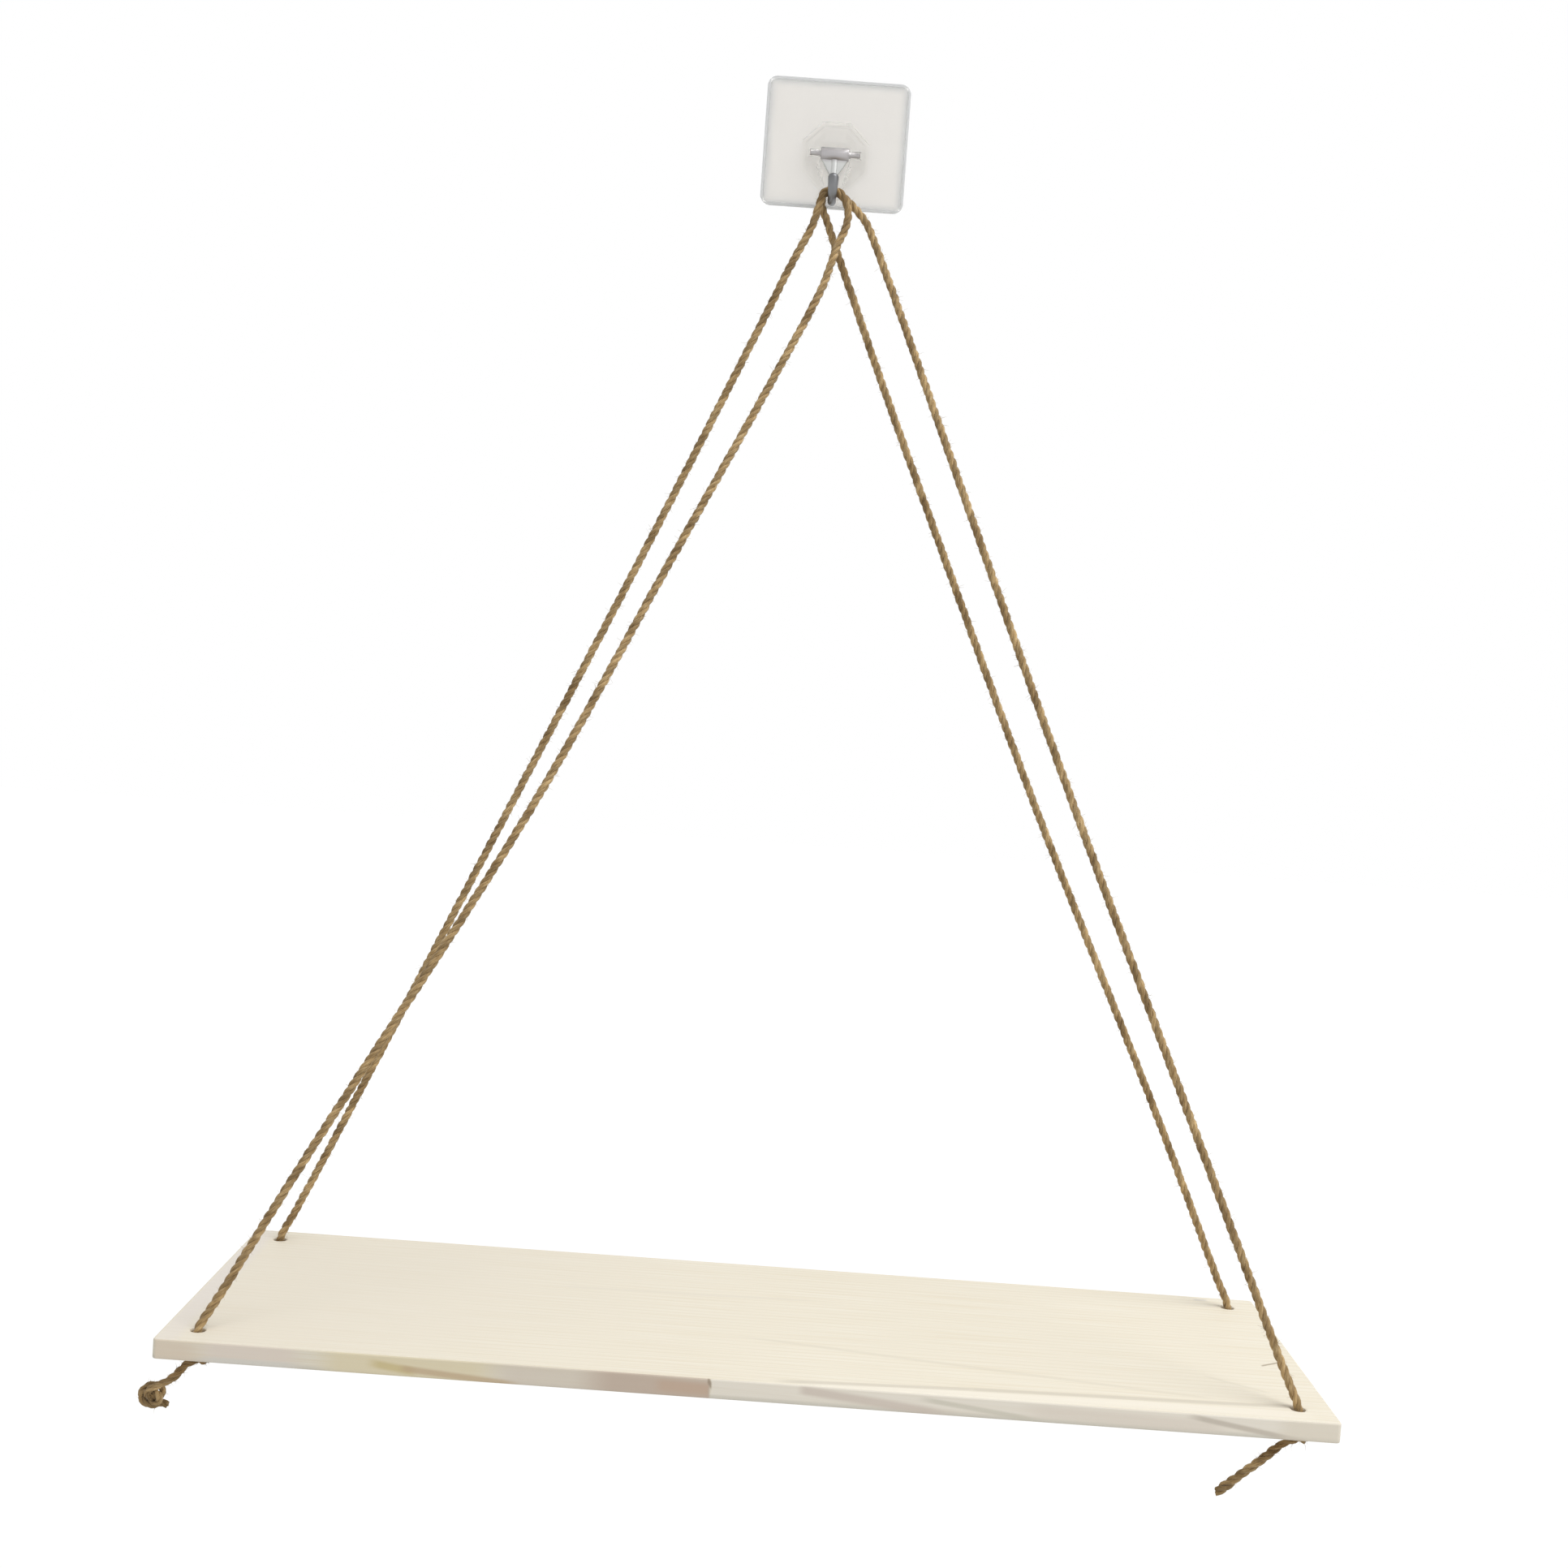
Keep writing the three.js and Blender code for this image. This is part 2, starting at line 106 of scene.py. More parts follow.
right_inner = [
    (-3.0, 0, 3.0), (-3.7, 0, 0.2), (-3.3, 0, -2.6), (-1.9, 0, -5.8), (0.7, 0, -12.0),
    (3.3, 0, -18.4), (8.9, 0.1, -31.3), (24.5, 0.2, -67.6), (53.9, 0.4, -133.4),
    (97.5, 0.7, -229.3), (155.3, 1.0, -348.5),
]


def knot_turns(start, end, steps):
    """The turns of an overhand knot about an upright axis, clear of each other. They go one and
    a half times round it for each time in and out."""
    points = []
    for i in range(steps):
        phase = math.pi * (start + (end - start) * i / (steps - 1))
        reach = 1.0 + 0.578 * math.cos(phase) - 0.09 * math.cos(3 * phase)
        height = 0.725 * math.sin(phase) + 0.045 * math.sin(3 * phase)
        points.append(Vector((
            reach * math.cos(1.5 * phase), reach * math.sin(1.5 * phase), height,
        )))
    return points


def board_knot(hole, heading):
    """The knot drawn up under the board, with its tail leaving sideways, and its centre."""
    turns = [Vector(p) for p in knot_way_in]
    turns += [Vector(knot_aside) + p for p in knot_turns(*board_knot_span)]
    turns += [Vector(p) for p in knot_way_out]
    spin = Matrix.Rotation(heading - math.pi, 3, "Z")
    squash = Matrix.Diagonal((1, 1, knot_squash))
    height = (knot_half_height * knot_size * knot_squash) + rope_radius * (1 - knot_pinch)
    centre = Vector((hole.x, hole.y, underside - height))
    return [spin @ (squash @ p) * knot_size + centre for p in turns], centre


def tail_points(start, heading, dip, length, end_knot):
    """The tail below a knot. One tail ends in a second, flat knot with a short stub."""
    along = Vector((
        math.cos(heading) * math.cos(dip), math.sin(heading) * math.cos(dip), -math.sin(dip),
    ))
    points = [start + along * length * share for share in tail_shares]
    if not end_knot:
        return points, []
    centre = points[-1] + along * end_knot_lead * knot_size
    stand = Matrix(((end_knot_width, 0, 0), (0, 0, -1), (0, end_knot_height, 0)))
    turns = [stand @ p * knot_size + centre for p in knot_turns(*end_knot_span)]
    stub = turns[-1] + (turns[-1] - turns[-2]).normalized() * stub_length
    return points[:2] + turns + [stub], [centre]


def rope_points(side, row, front_half, back_half):
    """Points of one rope from its front tail over the hook to its back tail, and its knots."""
    def beside(place):
        x, forward, rise = place
        return Vector((x, saddle_y + row * saddle_offset - forward, saddle_z + rise))

    ends, centres = [], []
    for hole_y, (strand, tail) in ((front_hole_y, front_half), (back_hole_y, back_half)):
        places = [beside(place) for place in strand]
        hole = Vector((side * hole_x, hole_y, board_top))
        knot, centre = board_knot(hole, tail[0])
        approach = hole + (places[-1] - hole).normalized() * hole_approach
        rest, end_centres = tail_points(knot[-1], *tail)
        ends.append(places + [approach, hole] + knot + rest)
        centres += [centre] + end_centres
    return ends[0][::-1] + [beside((0, 0, saddle_rise))] + ends[1], centres


def smooth_line(points, step):
    """Evenly spaced places on a smooth curve through the points."""
    fine, fineness = [], 4
    for i in range(len(points) - 1):
        a = points[max(i - 1, 0)]
        b, c = points[i], points[i + 1]
        d = points[min(i + 2, len(points) - 1)]
        if i == 0:
            a = 2 * b - c
        if i == len(points) - 2:
            d = 2 * c - b
        t = [0]
        for p, q in ((a, b), (b, c), (c, d)):
            t.append(t[-1] + math.sqrt((q - p).length))
        parts = max(2, round((c - b).length / step * fineness))
        for k in range(parts):
            u = t[1] + (t[2] - t[1]) * k / parts
            ab = a.lerp(b, u / t[1])
            bc = b.lerp(c, (u - t[1]) / (t[2] - t[1]))
            cd = c.lerp(d, (u - t[2]) / (t[3] - t[2]))
            abc = ab.lerp(bc, u / t[2])
            bcd = bc.lerp(cd, (u - t[1]) / (t[3] - t[1]))
            fine.append(abc.lerp(bcd, (u - t[1]) / (t[2] - t[1])))
    fine.append(points[-1])
    places, left = [fine[0]], step
    for p, q in zip(fine, fine[1:]):
        length = (q - p).length
        done = 0
        while length - done >= left:
            done += left
            places.append(p.lerp(q, done / length))
            left = step
        left -= length - done
    return places


def carried_frames(places):
    """The line's heading at each place, and a direction square to it, carried without twist."""
    heads = [(q - p).normalized() for p, q in zip(places, places[1:])]
    heads.append(heads[-1])
    square = heads[0].orthogonal().normalized()
    frames = [(heads[0], square)]
    for before, now in zip(heads, heads[1:]):
        square = before.rotation_difference(now) @ square
        square = (square - now * square.dot(now)).normalized()
        frames.append((now, square))
    return frames


def tube_mesh(name, lines, radius, sides):
    """Tubes along several lines of (place, thickness), in mm, as one mesh in metres."""
    curve = bpy.data.curves.new(name, "CURVE")
    curve.dimensions = "3D"
    curve.bevel_depth = radius * MM
    curve.bevel_resolution = sides // 2 - 2
    curve.use_fill_caps = True
    for line in lines:
        spline = curve.splines.new("POLY")
        spline.points.add(len(line) - 1)
        for point, (place, thickness) in zip(spline.points, line):
            point.co = (*(place * MM), 1)
            point.radius = thickness
    holder = bpy.data.objects.new(name, curve)
    bpy.context.scene.collection.objects.link(holder)
    bpy.context.view_layer.update()
    depsgraph = bpy.context.evaluated_depsgraph_get()
    mesh = bpy.data.meshes.new_from_object(holder.evaluated_get(depsgraph))
    bpy.data.objects.remove(holder)
    mesh.name = name
    for face in mesh.polygons:
        face.use_smooth = True
    return mesh


def linear(colour):
    """An sRGB hex colour as the linear values that the nodes take."""
    shares = [int(colour[i:i + 2], 16) / 255 for i in (1, 3, 5)]
    return [s / 12.92 if s <= 0.04045 else ((s + 0.055) / 1.055) ** 2.4 for s in shares] + [1]


def feed(tree, node, inputs):
    """Feeds a node's inputs from other nodes, their sockets or plain values. Inputs that share
    a name go by number: a colour Mix has its share at 0 and its two colours at 6 and 7."""
    for name, value in inputs.items():
        if isinstance(value, bpy.types.Node):
            value = next(socket for socket in value.outputs if socket.enabled)
        if isinstance(value, bpy.types.NodeSocket):
            tree.links.new(value, node.inputs[name])
        else:
            node.inputs[name].default_value = value


def add(tree, kind, inputs=None, stops=(), **settings):
    """Adds a node with its settings, its inputs and, on a colour ramp, its stops."""
    node = tree.nodes.new("ShaderNode" + kind)
    for name, value in settings.items():
        setattr(node, name, value)
    feed(tree, node, inputs or {})
    if stops:
        elements = node.color_ramp.elements
        while len(elements) < len(stops):
            elements.new(1)
        for element, (place, colour) in zip(elements, stops):
            element.position = place
            element.color = linear(colour)
    return node


def new_material(name):
    """A material, its node tree and its Principled shader."""
    material = bpy.data.materials.new(name)
    material.use_nodes = True
    return material, material.node_tree, material.node_tree.nodes["Principled BSDF"]


def dress(label, mesh, material, body, replaced=None):
    """Makes a mesh a piece on a body, in place of one of the part's nodes where that is named."""
    mesh.materials.clear()
    mesh.materials.append(material)
    piece = bpy.data.objects.new(label, mesh)
    bpy.context.scene.collection.objects.link(piece)
    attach(piece, body)
    if replaced:
        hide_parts(replaced)


# Laid jute is dry and matt. Each ply shows fibres that run along it, drawn in bundles because a
# single one is too fine to show, with paler and darker lengths where the fibre was retted more
# or less. Just below the board the rope is painted darker, as painted shade under the board.
jute, tree, shader = new_material("laid_jute")
fibre_length, fibre_width, retted_length = 2.75, 0.35, 9
texture = add(tree, "TexCoord")
height = add(tree, "SeparateXYZ", {"Vector": texture.outputs["Object"]}).outputs["Z"]
fibre_place = add(tree, "Mapping", {
    "Vector": texture.outputs["UV"],
    "Scale": (rope_run / fibre_length, 2 * math.pi * ply_radius / fibre_width, 1),
})
fibres = add(tree, "TexNoise", {
    "Vector": fibre_place, "Scale": 1, "Detail": 3, "Roughness": 0.6,
})
fibre_colour = add(tree, "ValToRGB", {"Fac": fibres}, [
    (0.30, "#937951"), (0.50, "#BCA173"), (0.72, "#E0CA9F"),
])
lengths = add(tree, "TexNoise", {
    "Vector": texture.outputs["Object"], "Scale": 1 / (retted_length * MM), "Detail": 2,
    "Roughness": 0.5,
})
length_colour = add(tree, "ValToRGB", {"Fac": lengths}, [(0.35, "#BBAC92"), (0.65, "#FFF8EA")])
jute_colour = add(tree, "Mix", {
    0: 0.85, 6: fibre_colour, 7: length_colour,
}, data_type="RGBA", blend_type="MULTIPLY")
paleness = add(tree, "Attribute", attribute_name="paleness").outputs["Fac"]
value = add(tree, "Math", {0: paleness, 1: 1.0}, operation="ADD")
jute_colour = add(tree, "HueSaturation", {
    "Color": jute_colour, "Saturation": 0.95, "Value": value,
})
# Painted shade: the rope is darkened in a band from 1 to 15 mm below the board's underside.
below_board = add(tree, "MapRange", {
    "Value": height, "From Min": (underside - 1) * MM, "From Max": (underside - 6) * MM,
}, interpolation_type="SMOOTHSTEP")
above_end = add(tree, "MapRange", {
    "Value": height, "From Min": (underside - 15) * MM, "From Max": (underside - 8) * MM,
}, interpolation_type="SMOOTHSTEP")
shade_under_board = add(tree, "Math", {0: below_board, 1: above_end}, operation="MULTIPLY")
jute_colour = add(tree, "Mix", {
    0: shade_under_board, 6: jute_colour, 7: linear("#D2C8BB"),
}, data_type="RGBA", blend_type="MULTIPLY")
fibre_bump = add(tree, "Bump", {"Height": fibres, "Distance": 0.12 * MM, "Strength": 0.8})
feed(tree, shader, {
    "Base Color": jute_colour, "Normal": fibre_bump, "Roughness": 0.9,
    "Specular IOR Level": 0.2, "Sheen Weight": 0.25, "Sheen Roughness": 0.5,
})

# Each rope has its side, its row on the hook, and for both halves the strand and its tail's
# heading, dip, length and whether it ends in a knot.
ropes = [
    ("left_rope", -1, -1, (left_inner, (172 * degree, 48 * degree, 11.5, True)),
     (left_outer, (205 * degree, 55 * degree, 14, False))),
    ("right_rope", 1, 1, (right_outer, (168 * degree, 44 * degree, 30.5, False)),
     (right_inner, (320 * degree, 58 * degree, 13, False))),
]
for name, side, row, front_half, back_half in ropes:
    chance = random.Random(side + rope_seed)
    points, knot_centres = rope_points(side, row, front_half, back_half)
    places = smooth_line(points, ring_step)
    frames = carried_frames(places)
    wander = [
        (chance.uniform(shortest_drift, longest_drift), chance.uniform(0, 6.3)) for _ in range(3)
    ]
    whole = (len(places) - 1) * ring_step
    plies = []
    for ply in range(3):
        line = []
        for i, (p, (head, square)) in enumerate(zip(places, frames)):
            run = i * ring_step
            angle = 2 * math.pi * (run / lay_length + ply / 3)
            drift = sum(math.sin(2 * math.pi * run / w + a) for w, a in wander) / 3
            angle += lay_drift * drift
            across = square * math.cos(angle) + head.cross(square) * math.sin(angle)
            near = min((p - centre).length for centre in knot_centres)
            pinch = 1 - knot_pinch * max(0, min(1, (knot_reach - near) / knot_fade))
            to_cut = min(run, whole - run)
            loose = 1 + cut_spread * math.sin(math.pi * min(1, to_cut / cut_length)) ** 2
            swell = 1 + ply_swell * math.sin(run / swell_run + ply * swell_shift)
            swell += chance.uniform(-ply_unevenness, ply_unevenness)
            line.append((p + across * ply_offset * pinch * loose, swell * pinch))
        short = chance.randrange(0, 2)
        plies.append(line[short:len(line) - chance.randrange(0, 2)])
    laid = bmesh.new()
    for line, tone in zip(plies, ply_tones):
        ply_mesh = tube_mesh(name + "_ply", [line], ply_radius, sides=8)
        paleness = ply_mesh.attributes.new("paleness", "FLOAT", "POINT")
        paleness.data.foreach_set("value", [tone] * len(ply_mesh.vertices))
        laid.from_mesh(ply_mesh)
    mesh = bpy.data.meshes.new(name + "_jute")
    laid.to_mesh(mesh)
    laid.free()

    # Each loose fibre leaves the rope sideways, leans along it and curls towards its tip.
    hairs = []
    for _ in range(hair_count):
        i = chance.randrange(bare_end, len(places) - bare_end)
        head, square = frames[i]
        angle = chance.uniform(0, 2 * math.pi)
        across = square * math.cos(angle) + head.cross(square) * math.sin(angle)
        along = head * chance.uniform(-1, 1)
        start = places[i] + across * hair_root
        reach = chance.uniform(shortest_hair, longest_hair)
        bend = Vector((chance.uniform(-1, 1), chance.uniform(-1, 1), chance.uniform(-1, 1)))
        hairs.append([
            (start, 1.0),
            (start + (across * 0.6 + along) * reach * 0.5, 0.8),
            (start + (across + along) * reach * 0.8 + bend * 0.3 * reach, 0.4),
        ])
    fuzz = tube_mesh(name + "_fibres", hairs, hair_radius, sides=4)
    dress(name + "_plies", mesh, jute, "shelf", name)
    dress(name + "_hairs", fuzz, jute, "shelf")


# Shelf board. One plank of pine, planed, sawn to length and left raw, with eased edges and a
# hole drilled in each corner for the ropes. It is pale and plain on top. Grain runs out on
# the front edge in streaks. Painted shade darkens the left of the top and front and the front's
# lower edge, and painted light brightens the front's right half.
ring_width, warp_length, warp_width, warp_reach = 3.4, 165, 45, 6
grain_length, grain_width = 55, 0.7
heart_offset, heart_lean = (0, -0.23, 0.56), (0, 0.012, -0.014)
face_start, face_full = 0.3, 0.8
mark_border, mark_core = 1.3, 0.3

# Planed raw pine is matt and nearly white. The heart of its tree lay well outside the plank, so
# its rings run along it as faint bands. The hair lines of its fibres are drawn coarser than they
# are, to show. The Wave texture repeats at pi / 10 over its scale.
pine, tree, shader = new_material("planed_pine")
texture = add(tree, "TexCoord")
place = texture.outputs["Object"]
warp_place = add(tree, "Mapping", {
    "Vector": place, "Scale": (1 / (warp_length * MM), *[1 / (warp_width * MM)] * 2),
})
warp = add(tree, "TexNoise", {"Vector": warp_place, "Scale": 1, "Detail": 1})
warp_shift = add(tree, "VectorMath", {
    0: warp.outputs["Color"], 1: (0.5, 0.5, 0.5),
}, operation="SUBTRACT")
warp_shift = add(tree, "VectorMath", {
    0: warp_shift, "Scale": warp_reach * MM,
}, operation="SCALE")
warped = add(tree, "VectorMath", {0: place, 1: warp_shift}, operation="ADD")
heart = add(tree, "Mapping", {
    "Vector": warped, "Location": heart_offset, "Rotation": heart_lean,
})
rings = add(tree, "TexWave", {
    "Vector": heart, "Scale": math.pi / 10 / (ring_width * MM),
}, wave_type="RINGS", rings_direction="X", wave_profile="SAW")
pine_colour = add(tree, "ValToRGB", {"Fac": rings.outputs["Fac"]}, [
    (0.0, "#F3ECDB"), (0.6, "#F2EBDA"), (0.88, "#EFE8D6"), (0.96, "#ECE4D1"), (1.0, "#F2EBDA"),
])
grain_place = add(tree, "Mapping", {
    "Vector": place, "Scale": (1 / (grain_length * MM), *[1 / (grain_width * MM)] * 2),
})
grain = add(tree, "TexNoise", {"Vector": grain_place, "Scale": 1, "Detail": 3})
grain_colour = add(tree, "ValToRGB", {"Fac": grain}, [(0.3, "#F5F0E6"), (0.6, "#FFFFFF")])
pine_colour = add(tree, "Mix", {
    0: 0.7, 6: pine_colour, 7: grain_colour,
}, data_type="RGBA", blend_type="MULTIPLY")

facing = add(tree, "SeparateXYZ", {"Vector": texture.outputs["Normal"]}).outputs
is_top = add(tree, "MapRange", {
    "Value": facing["Z"], "From Min": face_start, "From Max": face_full,
}, interpolation_type="SMOOTHSTEP")
is_front = add(tree, "MapRange", {
    "Value": facing["Y"], "From Min": -face_start, "From Max": -face_full,
}, interpolation_type="SMOOTHSTEP")
axes, warped_axes = (
    add(tree, "SeparateXYZ", {
        "Vector": add(tree, "VectorMath", {0: spot, "Scale": 1 / MM}, operation="SCALE"),
    }).outputs
    for spot in (place, warped)
)

# Marks on the faces: where each starts and ends along and across its face, its half width,
# the length over which it fades in and out, its colour and its strength. Across is y on the
# top and z on the front. A streak on the top wavers with the grain.
top_face, top_streak = (is_top, axes["Y"]), (is_top, warped_axes["Y"])
front_face = (is_front, axes["Z"])
marks = [
    # Painted shade: the top's left end, darker where less light falls on it.
    (top_face, (-230, -100), (-60, -40), 100, 30, 160, "#EAE2D2", 0.6),
    (top_face, (20, -139), (190, -135), 4.5, 12, 12, "#F8F1E2", 0.7),
    (top_streak, (12, -138.4), (76, -132.6), 2.0, 12, 3, "#D6CEBD", 0.75),
    (top_streak, (76, -132.6), (188, -126.4), 2.2, 3, 6, "#D6CEBD", 0.8),
    (top_streak, (0, -95), (158, -123), 1.6, 25, 10, "#E2DAC7", 0.55),
    (top_streak, (162, -101), (181, -113), 1.3, 4, 4, "#E2DAC7", 0.5),
    (top_streak, (-70, -49), (20, -46), 1.4, 20, 20, "#E6DECD", 0.5),
    (top_face, (-199, -70), (-192, -70), 90, 1, 5, "#E6DFDA", 0.6),
    (top_streak, (185.5, -85.6), (194, -80), 0.8, 1, 1, "#A2937C", 0.8),
    (top_streak, (176, -5.5), (181, -5), 1.6, 2, 2, "#D8D2C8", 0.7),
    # The front's right half: the wood's own paler tone, brightened further as painted light.
    (front_face, (-12, -447), (200, -447), 6, 0.7, 1, "#FBF4E8", 0.6),
    # Painted shade: a grey line along the front's lower edge.
    (front_face, (-200, -451.2), (200, -451.2), 1.4, 1, 1, "#D2CEC2", 0.6),
    # The broad blocks on the front's left half: the wood's own tones, darkened as painted shade.
    (front_face, (-199, -448), (-184, -449), 5, 1, 12, "#E8D8C3", 0.8),
    (front_face, (-182, -448), (-152, -448), 6, 8, 10, "#EDE0D3", 0.8),
    # Painted shade: a grey line along the lower edge of this block.
    (front_face, (-182, -450.6), (-152, -450.6), 1.4, 8, 10, "#E3E0D6", 0.8),
    (front_face, (-142, -448), (-86, -449), 6, 12, 16, "#EDE0BC", 0.8),
    (front_face, (-84, -448), (-46, -448), 6, 14, 14, "#E3D8C8", 0.8),
    (front_face, (-126, -447.6), (-112, -449.4), 1.6, 6, 4, "#D6C48D", 0.75),
    (front_face, (-116, -448.6), (-78, -451.4), 1.3, 4, 8, "#D0B896", 0.8),
    (front_face, (-52, -447.5), (-12.5, -449), 6, 16, 0.7, "#CEBBAA", 0.9),
    (front_face, (-30, -448), (-13, -448.4), 2.4, 5, 0.7, "#D0B59E", 0.7),
    (front_face, (-13.4, -445), (-12, -447), 1.4, 0.6, 0.6, "#A59480", 0.8),
    (front_face, (18, -446.2), (66, -450.8), 1.8, 4, 14, "#DCCFC2", 0.8),
    (front_face, (60, -446.5), (96, -450.5), 1.0, 8, 12, "#D8D3C2", 0.7),
    (front_face, (95, -447.5), (160, -449), 2.6, 14, 10, "#EADFD1", 0.6),
    (front_face, (150, -445.8), (188, -451.6), 1.1, 8, 3, "#CFC5B6", 0.85),
    (front_face, (180, -448), (200, -448), 6, 8, 1, "#EBE1CE", 0.6),
]
for (face, across), start, end, half_width, fade_in, fade_out, colour, strength in marks:
    middle = add(tree, "MapRange", {
        "Value": axes["X"], "From Min": start[0], "From Max": end[0],
        "To Min": start[1], "To Max": end[1],
    })
    off = add(tree, "Math", {0: across, 1: middle}, operation="SUBTRACT")
    away = add(tree, "Math", {0: off}, operation="ABSOLUTE")
    share = strength
    for value, outside, inside in (
        (away, half_width * mark_border, half_width * mark_core),
        (axes["X"], start[0] - fade_in / 2, start[0] + fade_in / 2),
        (axes["X"], end[0] + fade_out / 2, end[0] - fade_out / 2),
    ):
        part = add(tree, "MapRange", {
            "Value": value, "From Min": outside, "From Max": inside,
        }, interpolation_type="SMOOTHSTEP")
        share = add(tree, "Math", {0: part, 1: share}, operation="MULTIPLY")
    share = add(tree, "Math", {0: face, 1: share}, operation="MULTIPLY")
    pine_colour = add(tree, "Mix", {
        0: share, 6: pine_colour, 7: linear(colour),
    }, data_type="RGBA")
grain_bump = add(tree, "Bump", {"Height": grain, "Distance": 0.04 * MM, "Strength": 0.4})
feed(tree, shader, {
    "Base Color": pine_colour, "Normal": grain_bump, "Roughness": 0.62,
    "Specular IOR Level": 0.3,
})
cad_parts["shelf_board"].material_slots[0].material = pine


# Adhesive pad. A soft, slightly hazy gel film on the wall carries a clear stamped sheet. Both
# are painted a little darker towards the rim, as painted shade where light leaves them sideways.
film_half_width, film_half_height = 27.2, 24.2
gel_rim, gel_edge, sheet_rim, sheet_edge = 3.5, 0.25, 0.8, 0.35
merge_gap, flat_angle, corner_angle = 0.001, 1, 24


def softened(name, width):
    """A copy of a part's mesh with its flat faces joined and its sharp edges rounded."""
    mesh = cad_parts[name].data.copy()
    mesh.name = name + "_softened"
    shape = bmesh.new()
    shape.from_mesh(mesh)
    bmesh.ops.remove_doubles(shape, verts=shape.verts, dist=merge_gap * MM)
    bmesh.ops.dissolve_limit(
        shape, angle_limit=math.radians(flat_angle), verts=shape.verts, edges=shape.edges,
    )
    sharp = [e for e in shape.edges if e.calc_face_angle(0) > math.radians(corner_angle)]
    bmesh.ops.bevel(
        shape, geom=sharp, offset=width * MM, offset_type="OFFSET", segments=3, profile=0.5,
        affect="EDGES", clamp_overlap=True, material=-1,
    )
    shape.to_mesh(mesh)
    shape.free()
    return mesh


def rim_share(tree, reach):
    """Zero over the pad's middle, rising to one at its rim."""
    place = add(tree, "TexCoord").outputs["Object"]
    axes = add(tree, "SeparateXYZ", {"Vector": place}).outputs
    shares = []
    for axis, half in (("X", film_half_width), ("Z", film_half_height)):
        away = add(tree, "Math", {0: axes[axis]}, operation="ABSOLUTE")
        shares.append(add(tree, "MapRange", {
            "Value": away, "From Min": (half - reach) * MM, "From Max": half * MM,
        }, interpolation_type="SMOOTHSTEP"))
    return add(tree, "Math", {0: shares[0], 1: shares[1]}, operation="MAXIMUM")


# Cast gel is soft and a little cloudy, so the wall shows through it as a warm, milky white.
gel, tree, shader = new_material("adhesive_gel")
# Painted shade: the gel's colour turns greyer towards its rim.
gel_colour = add(tree, "Mix", {
    0: rim_share(tree, gel_rim), 6: linear("#FDFBF7"), 7: linear("#E6E7E6"),
}, data_type="RGBA")
feed(tree, shader, {
    "Base Color": gel_colour, "Roughness": 0.5, "IOR": 1.47, "Transmission Weight": 0.76,
})
film = softened("adhesive_film", gel_edge)
dress("gel_film", film, gel, "wall_plate", "adhesive_film")

# Stamped PET sheet is clear and glossy. Its cut edge is duller, and a thin grey line is
# painted along it as painted shade.
sheet, tree, shader = new_material("clear_pet_sheet")
rim = rim_share(tree, sheet_rim)
# Painted shade: the sheet's colour turns grey at its rim.
sheet_colour = add(tree, "Mix", {
    0: rim, 6: linear("#FEFDFC"), 7: linear("#ECEDED"),
}, data_type="RGBA")
clearness = add(tree, "MapRange", {"Value": rim, "To Min": 1.0, "To Max": 0.45})
feed(tree, shader, {
    "Base Color": sheet_colour, "Transmission Weight": clearness, "Roughness": 0.1, "IOR": 1.4,
})
stamping = softened("pad_sheet", sheet_edge)
dress("stamped_sheet", stamping, sheet, "wall_plate", "pad_sheet")


# Hook seat. A clear octagonal moulding, welded to the sheet, with a slot for the hook's head.
# Its edges are softly rounded, as they come from the mould.
seat_edge = 0.3

# Moulded polycarbonate is as clear as glass, and its facets show as fine grey lines. Its IOR is
# set below the real one, so that they are as faint as in the photograph.
polycarbonate, tree, shader = new_material("clear_polycarbonate")
feed(tree, shader, {
    "Base Color": linear("#FFFFFE"), "Roughness": 0.14, "IOR": 1.2, "Transmission Weight": 1,
})
moulding = softened("hook_seat", seat_edge)
dress("seat_moulding", moulding, polycarbonate, "wall_plate", "hook_seat")


# Hinge pin and hook. Bright drawn steel. The hook's rolled head turns on the pin, a flat web
# narrows from it to the wire, and the wire bends up in front of the ropes to a thicker tip.
hinge_y, hinge_z = -6.6, -5
pin_radius, pin_half_length = 1.2, 9.1
barrel_radius, bore_radius, barrel_half_length = 2.6, 1.5, 5.5
web_half_thickness, web_length, web_top = 1.1, 8, barrel_radius * 0.7
wire_radius, bend_radius, bend_z = 1.6, 7, -17.6
stem_points, stem_step, stem_overlap, bend_steps = 21, 0.5, 0.4, 48
tip_z, tip_growth, growth_points, tip_steps, smallest_share = -15.4, 0.27, 17, 12, 0.02
pin_easing, hook_easing, crease_angle = 0.3, 0.4, 40


def turned(name, outline, steps):
    """A solid turned about the hinge line from an outline of (x, radius), in mm."""
    shape = bmesh.new()
    corners = [shape.verts.new(Vector((x, hinge_y, hinge_z + r)) * MM) for x, r in outline]
    pairs = list(zip(corners, corners[1:]))
    if outline[0][1] > 0:
        pairs.append((corners[-1], corners[0]))
    edges = [shape.edges.new(pair) for pair in pairs]
    bmesh.ops.spin(
        shape, geom=corners + edges, cent=Vector((0, hinge_y, hinge_z)) * MM, axis=(1, 0, 0),
        dvec=(0, 0, 0), angle=2 * math.pi, steps=steps, use_merge=True, use_duplicate=False,
    )
    bmesh.ops.remove_doubles(shape, verts=shape.verts, dist=merge_gap * MM)
    bmesh.ops.recalc_face_normals(shape, faces=shape.faces)
    mesh = bpy.data.meshes.new(name)
    shape.to_mesh(mesh)
    shape.free()
    return mesh


def eased_outline(half_length, inner, outer, easing):
    """The outline of a ring, or of a rod where it starts at the axis, with eased corners."""
    corner = easing * 0.3
    return [
        (-half_length, inner), (-half_length, outer - easing),
        (-half_length + corner, outer - corner), (-half_length + easing, outer),
        (half_length - easing, outer), (half_length - corner, outer - corner),
        (half_length, outer - easing), (half_length, inner),
    ]


